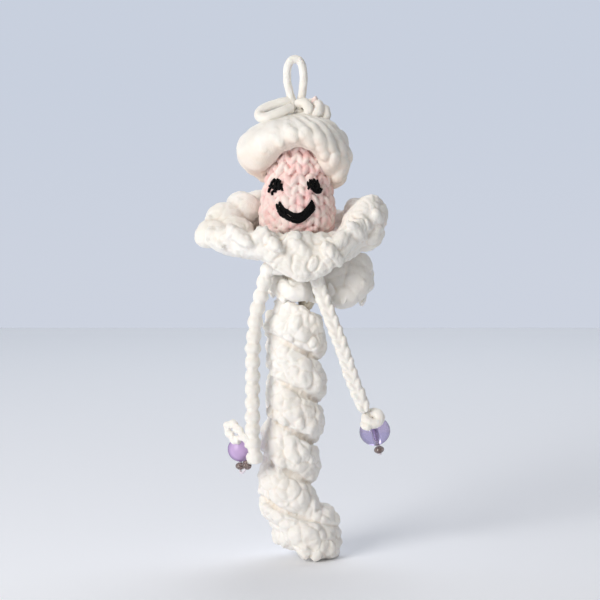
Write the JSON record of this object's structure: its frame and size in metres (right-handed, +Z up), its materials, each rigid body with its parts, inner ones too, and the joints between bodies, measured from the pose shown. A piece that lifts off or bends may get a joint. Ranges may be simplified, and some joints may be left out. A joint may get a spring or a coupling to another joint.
{
  "type": "yarn doll",
  "caption": "Hanging crocheted yarn doll: hanging loop, rolled hat, knitted pink head, frilled collar, cord arms that end in glass beads, and a corkscrew tail",
  "frame": {"origin": "inner top of the hanging loop, where a hook touches it", "axes": "+Z up, the doll faces -Y, +X to the right of a viewer who faces it"},
  "size_m": [0.0594, 0.0356, 0.1601],
  "materials": {
    "cream_yarn": "matte crocheted cotton yarn, cream white",
    "core_yarn": "matte twisted yarn in shade, beige",
    "pink_yarn": "matte knitted yarn, pale variegated pink",
    "black_thread": "black embroidery thread, slight sheen",
    "fibre": "loose white stuffing fibre",
    "thread": "fine beading thread",
    "lavender_glass": "matte frosted lavender glass",
    "purple_glass": "clear purple glass, glossy",
    "smoky_glass": "clear smoky brown glass, glossy"
  },
  "bodies": {
    "hanger": {"hanging_loop": "cream_yarn", "loop_stopper": "cream_yarn"},
    "head": {"hat": "cream_yarn", "tie_bow": "cream_yarn", "tie_knot": "cream_yarn", "tie_tip": "pink_yarn", "head_cover": "pink_yarn", "head_stuffing": "fibre", "left_eye": "black_thread", "right_eye": "black_thread", "mouth": "black_thread"},
    "torso": {"neck_knot": "core_yarn", "core_cord": "core_yarn", "upper_ruffle": "cream_yarn", "lower_ruffle": "cream_yarn", "shoulder_cord": "cream_yarn"},
    "left_arm": {"left_arm": "cream_yarn"},
    "left_hand": {"left_hand_knot": "cream_yarn", "left_bead_thread": "thread", "left_seed_bead_lower": "smoky_glass", "left_seed_bead_front": "smoky_glass"},
    "left_bead": {"left_bead": "lavender_glass"},
    "right_arm": {"right_arm": "cream_yarn"},
    "right_hand": {"right_hand_ring": "cream_yarn", "right_bead_thread": "thread", "right_seed_bead": "smoky_glass"},
    "right_bead": {"right_bead": "purple_glass"},
    "waist": {"waist_knot": "core_yarn"},
    "tail": {"tail_core": "core_yarn", "tail_spiral": "cream_yarn", "tail_end_knot": "cream_yarn"}
  },
  "joints": [
    {"name": "loop_swing", "type": "hinge", "parent": "hanger", "child": "head", "pos_m": [0.0008, 0, -0.0149], "axis": [1, 0, 0], "range_deg": [-35, 35]},
    {"name": "neck_turn", "type": "hinge", "parent": "head", "child": "torso", "pos_m": [0.0008, 0, -0.0541], "axis": [0, 0, 1], "range_deg": [-60, 60]},
    {"name": "left_shoulder_swing", "type": "hinge", "parent": "torso", "child": "left_arm", "pos_m": [-0.0096, -0.0076, -0.0651], "axis": [0, 1, 0], "range_deg": [0, 60]},
    {"name": "right_shoulder_swing", "type": "hinge", "parent": "torso", "child": "right_arm", "pos_m": [0.0068, -0.0084, -0.0651], "axis": [0, -1, 0], "range_deg": [-4, 50]},
    {"name": "left_wrist_swing", "type": "hinge", "parent": "left_arm", "child": "left_hand", "pos_m": [-0.0164, -0.01028, -0.11809], "axis": [0, 1, 0], "range_deg": [0, 18]},
    {"name": "right_wrist_swing", "type": "hinge", "parent": "right_arm", "child": "right_hand", "pos_m": [0.0222, -0.0108, -0.1081], "axis": [0, -1, 0], "range_deg": [-20, 25]},
    {"name": "left_bead_spin", "type": "hinge", "parent": "left_hand", "child": "left_bead", "pos_m": [-0.0174, -0.0054, -0.1222], "axis": [0, 0, 1], "continuous": true},
    {"name": "right_bead_spin", "type": "hinge", "parent": "right_hand", "child": "right_bead", "pos_m": [0.0254, -0.0062, -0.1163], "axis": [-0.2225, 0, 0.9749], "continuous": true},
    {"name": "waist_swing", "type": "hinge", "parent": "torso", "child": "waist", "pos_m": [0.0026, 0, -0.0779], "axis": [1, 0, 0], "range_deg": [-2, 25]},
    {"name": "tail_twist", "type": "hinge", "parent": "waist", "child": "tail", "pos_m": [0.0026, 0, -0.0779], "axis": [0, 0, 1], "range_deg": [-60, 20]}
  ]
}
